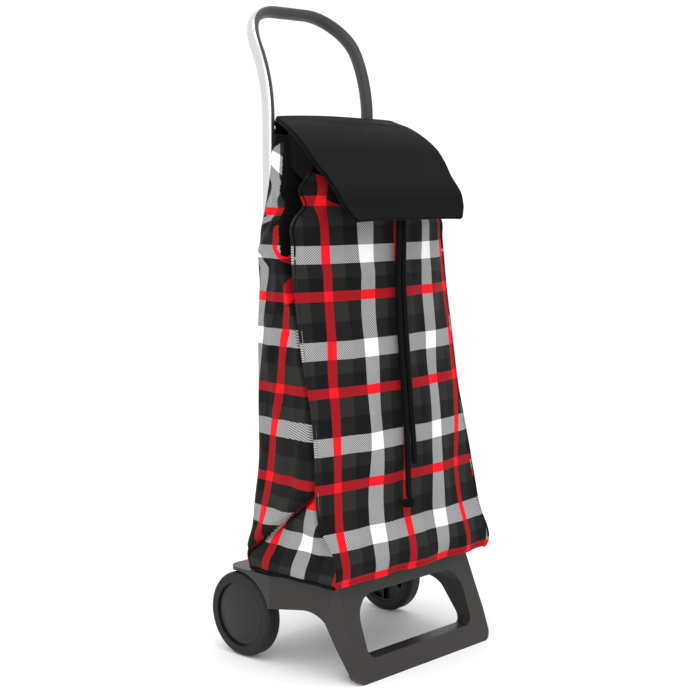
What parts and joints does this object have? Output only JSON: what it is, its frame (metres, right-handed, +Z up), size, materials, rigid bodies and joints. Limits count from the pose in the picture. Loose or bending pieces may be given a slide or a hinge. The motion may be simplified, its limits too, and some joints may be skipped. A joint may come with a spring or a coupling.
{
  "type": "shopping trolley on wheels",
  "caption": "Two-wheeled shopping trolley: moulded base with a foot loop, bent aluminium handle, tall plaid fabric bag with a black hinged flap and hanging drawstrings.",
  "frame": {"origin": "on the floor, under the middle of the box around the trolley", "axes": "+Z up, +Y from the foot loop at the front to the wheels and handle at the back, +X to the right seen from the front"},
  "size_m": [0.356, 0.3059, 1.0049],
  "materials": {
    "base_plastic": "fine-grained satin moulded",
    "bearing_plastic": "natural acetal",
    "black_cord": "braided",
    "black_fabric": "plain woven",
    "black_plastic": "satin moulded",
    "board": "extruded sheet",
    "bright_aluminium": "polished anodised",
    "grey_plastic": "satin moulded",
    "plaid_fabric": "twill woven plaid, coated back",
    "tyre_rubber": "matte moulded foam rubber",
    "zinc_steel": "zinc plated"
  },
  "bodies": {
    "trolley": {"axle": "zinc_steel", "axle_clip_left": "zinc_steel", "axle_clip_right": "zinc_steel", "bag_back": "plaid_fabric", "bag_front": "plaid_fabric", "bag_side_left": "plaid_fabric", "bag_side_right": "plaid_fabric", "bag_sole": "black_fabric", "base_board": "board", "base_moulding": "base_plastic", "cord_knot": "black_cord", "cord_long": "black_cord", "cord_short": "black_cord", "drawstring_collar": "black_fabric", "handle_liner": "grey_plastic", "handle_rail": "bright_aluminium", "hanger_clip_left": "black_plastic", "hanger_clip_right": "black_plastic", "hanger_rod": "zinc_steel", "hinge_tape": "black_fabric", "lock_body": "black_plastic", "lock_spring": "zinc_steel", "lock_tab": "black_fabric", "rod_loops": "black_fabric", "socket_screws": "zinc_steel", "sole_rivets": "black_plastic"},
    "wheel_left": {"wheel_left_bushing": "bearing_plastic", "wheel_left_cap": "black_plastic", "wheel_left_rim": "black_plastic", "wheel_left_tyre": "tyre_rubber"},
    "wheel_right": {"wheel_right_bushing": "bearing_plastic", "wheel_right_cap": "black_plastic", "wheel_right_rim": "black_plastic", "wheel_right_tyre": "tyre_rubber"},
    "flap": {"flap_board": "board", "flap_cover": "black_fabric"},
    "lock_button": {"lock_button": "black_plastic"}
  },
  "joints": [
    {"name": "wheel_left_spin", "type": "hinge", "parent": "trolley", "child": "wheel_left", "pos_m": [0, 0.08, 0.066], "axis": [1, 0, 0], "continuous": true},
    {"name": "wheel_right_spin", "type": "hinge", "parent": "trolley", "child": "wheel_right", "pos_m": [0, 0.08, 0.066], "axis": [1, 0, 0], "continuous": true},
    {"name": "flap_lift", "type": "hinge", "parent": "trolley", "child": "flap", "pos_m": [0, 0.0426, 0.8283], "axis": [-1, 0, 0], "range_deg": [0, 136]},
    {"name": "lock_button_press", "type": "slide", "parent": "trolley", "child": "lock_button", "axis": [0, 0, -1], "range_m": [0, 0.004], "stiffness_N_per_m": 400, "springref_m": -0.002, "deforming": ["lock_spring"]}
  ]
}
